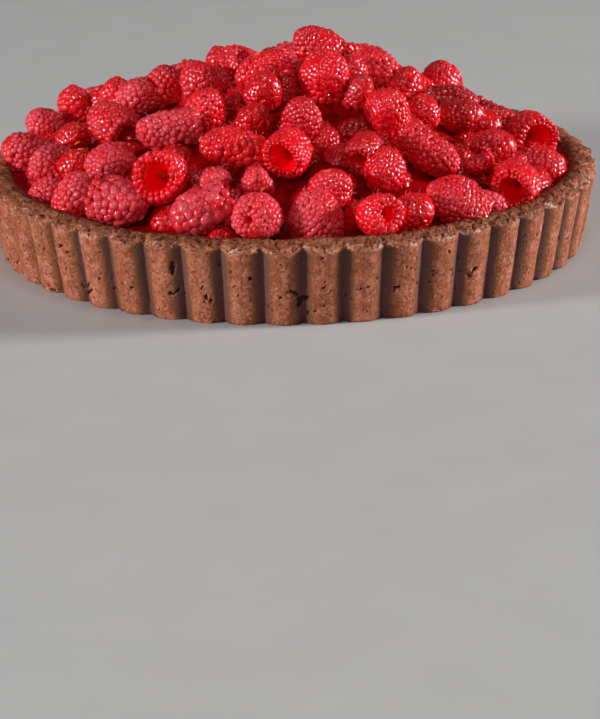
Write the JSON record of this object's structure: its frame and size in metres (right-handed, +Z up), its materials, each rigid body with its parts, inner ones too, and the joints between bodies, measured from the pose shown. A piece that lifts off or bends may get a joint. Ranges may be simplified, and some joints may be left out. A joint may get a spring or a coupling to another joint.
{
  "type": "raspberry tart",
  "caption": "Whole round tart: a fluted chocolate pastry shell with a flat underside, heaped into a tall mound with whole glazed raspberries.",
  "frame": {"origin": "middle of the shell's flat underside", "axes": "+Z up, square to the underside; -Y towards the front, the side that the picture shows; +X to the picture's right"},
  "size_m": [0.2412, 0.2412, 0.0849],
  "materials": {
    "pastry": "matte, grainy, with small pits",
    "fruit": "moist and glossy, with a pale bloom"
  },
  "bodies": {
    "root": {"pastry_shell": "pastry", "raspberry_heap": "fruit"}
  },
  "joints": []
}
